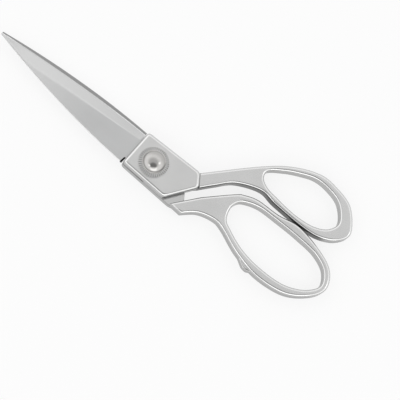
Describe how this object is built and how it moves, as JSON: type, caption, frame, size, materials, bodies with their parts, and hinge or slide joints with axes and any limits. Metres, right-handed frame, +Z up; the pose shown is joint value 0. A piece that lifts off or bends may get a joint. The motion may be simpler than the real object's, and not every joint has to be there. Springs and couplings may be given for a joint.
{
  "type": "dressmaking shears",
  "caption": "Bent-handle all-metal dressmaking shears: two hollow-ground blades in chromed handles that turn on a bushed pivot with a domed cap, for cutting cloth on a table.",
  "frame": {"origin": "centre of the closed shears' footprint, on the surface they lie on", "axes": "+X along the blades to the tips, +Y to the finger side, +Z up along the pivot axis and out of the domed cap"},
  "size_m": [0.2028, 0.0632, 0.0141],
  "materials": {
    "handle_chrome": "bright satin plate",
    "blade_steel": "fine ground satin",
    "pivot_steel": "bright",
    "cap_mirror": "mirror polish",
    "bush_bronze": "turned bronze"
  },
  "bodies": {
    "finger_half": {"finger_handle": "handle_chrome", "finger_blade": "blade_steel", "pivot_bush": "bush_bronze"},
    "thumb_half": {"thumb_handle": "handle_chrome", "thumb_blade": "blade_steel", "spring_washer": "pivot_steel", "toothed_washer": "pivot_steel", "pivot_screw": "pivot_steel", "pivot_cap": "cap_mirror"}
  },
  "joints": [
    {"name": "pivot", "type": "hinge", "parent": "finger_half", "child": "thumb_half", "pos_m": [0.00337, 0.02137, 0.005], "axis": [0, 0, 1], "range_deg": [0, 100]}
  ]
}
